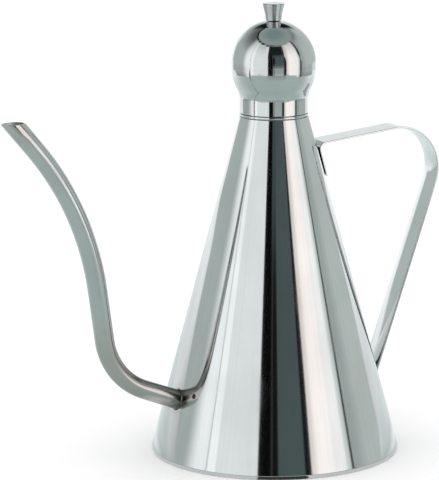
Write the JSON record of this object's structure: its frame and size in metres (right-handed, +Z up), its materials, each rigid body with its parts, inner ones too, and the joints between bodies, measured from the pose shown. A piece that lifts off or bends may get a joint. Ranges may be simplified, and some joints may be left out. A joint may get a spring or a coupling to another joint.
{
  "type": "oil can",
  "caption": "Conical oil can of polished steel with a curved pouring spout, a strap handle and a ball-shaped lift-off lid with a knob.",
  "frame": {"origin": "middle of the base, on the plane that the can stands on", "axes": "+Z up along the cone's axis, -X towards the spout, +X towards the handle"},
  "size_m": [0.194, 0.102, 0.1861],
  "materials": {
    "spun_steel": "polished",
    "pressed_steel": "satin",
    "neck_steel": "polished",
    "drawn_tube_steel": "polished",
    "weld_steel": "satin",
    "strip_steel": "polished",
    "lid_steel": "polished",
    "knob_steel": "polished",
    "fastener_steel": "satin"
  },
  "bodies": {
    "can": {"body_cone": "spun_steel", "base_pan": "pressed_steel", "neck_collar": "neck_steel", "spout_tube": "drawn_tube_steel", "spout_weld": "weld_steel", "handle_strap": "strip_steel"},
    "lid": {"lid_skirt": "lid_steel", "lid_dome": "lid_steel", "knob": "knob_steel", "knob_screw": "fastener_steel", "knob_washer": "fastener_steel"}
  },
  "joints": [
    {"name": "lid_lift", "type": "slide", "parent": "can", "child": "lid", "axis": [0, 0, 1], "range_m": [0, 0.045]}
  ]
}
